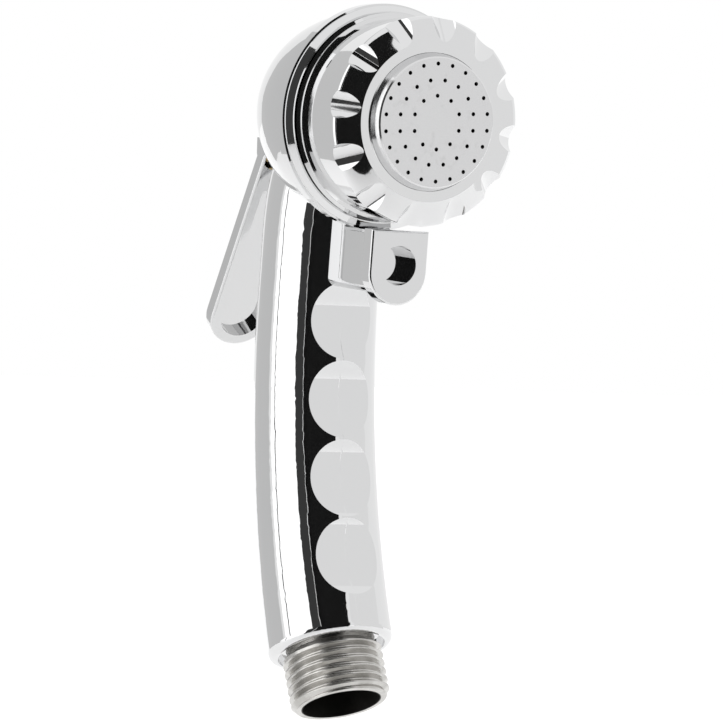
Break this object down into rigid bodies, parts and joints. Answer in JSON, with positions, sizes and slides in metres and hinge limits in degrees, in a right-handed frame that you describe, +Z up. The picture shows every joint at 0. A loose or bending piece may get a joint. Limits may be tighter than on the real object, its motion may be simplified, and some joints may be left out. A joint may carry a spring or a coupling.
{
  "type": "handheld shower head",
  "caption": "Chromed handheld shower head with a curved finger-grip handle, squeeze lever, domed head, fluted turning bell, perforated spray disc and threaded hose inlet.",
  "frame": {"origin": "centre of the hose thread's end face", "axes": "+Z up, parallel to the spray face; -Y is the way the water leaves the spray disc; X = 0 halves the handle, dome, lug and lever"},
  "size_m": [0.0466, 0.0832, 0.1498],
  "materials": {
    "body_chrome": "polished chrome plate",
    "plate_chrome": "polished chrome plate, drilled",
    "satin_nickel": "satin nickel plated, machined thread",
    "pin_steel": "bright stainless steel",
    "inner_brass": "bare machined brass",
    "riser_plastic": "semi-matt polymer tube",
    "white_plastic": "moulded white polymer",
    "seal_rubber": "black nitrile rubber"
  },
  "bodies": {
    "handle": {"handle_body": "body_chrome", "head_collar": "body_chrome", "lever_pin": "pin_steel", "pin_clip": "pin_steel", "inlet_nipple": "satin_nickel", "neck_spigot": "inner_brass", "valve_cartridge": "inner_brass", "cartridge_plug": "inner_brass", "gland_nut": "inner_brass", "valve_spring": "pin_steel", "bell_snap_ring": "pin_steel", "riser_tube": "riser_plastic", "flow_restrictor": "white_plastic", "inlet_screen": "pin_steel", "spigot_gasket": "seal_rubber", "spigot_o_ring": "seal_rubber", "cartridge_o_ring": "seal_rubber", "gland_o_ring": "seal_rubber", "riser_o_rings": "seal_rubber", "nipple_o_ring": "seal_rubber"},
    "bell": {"spray_bell": "body_chrome", "spray_plate": "plate_chrome", "plate_gasket": "seal_rubber", "flow_diffuser": "white_plastic", "diffuser_ring": "white_plastic"},
    "lever": {"lever": "body_chrome"},
    "stem": {"valve_stem": "pin_steel", "stem_button": "pin_steel", "poppet_washer": "seal_rubber", "poppet_nut": "inner_brass"}
  },
  "joints": [
    {"name": "bell_turn", "type": "hinge", "parent": "handle", "child": "bell", "pos_m": [0, 0, 0.1218], "axis": [0, -1, 0], "range_deg": [0, 90]},
    {"name": "lever_squeeze", "type": "hinge", "parent": "handle", "child": "lever", "pos_m": [0, 0.0372, 0.1205], "axis": [-1, 0, 0], "range_deg": [0, 10], "stiffness_Nm_per_rad": 0.5, "springref_deg": -17.19},
    {"name": "stem_push", "type": "slide", "parent": "handle", "child": "stem", "axis": [0, -1, 0], "range_m": [0, 0.0022], "deforming": ["valve_spring"]}
  ],
  "couplings": [
    {"joint": "stem_push", "follows": "lever_squeeze", "m_per_rad": 0.0117}
  ]
}
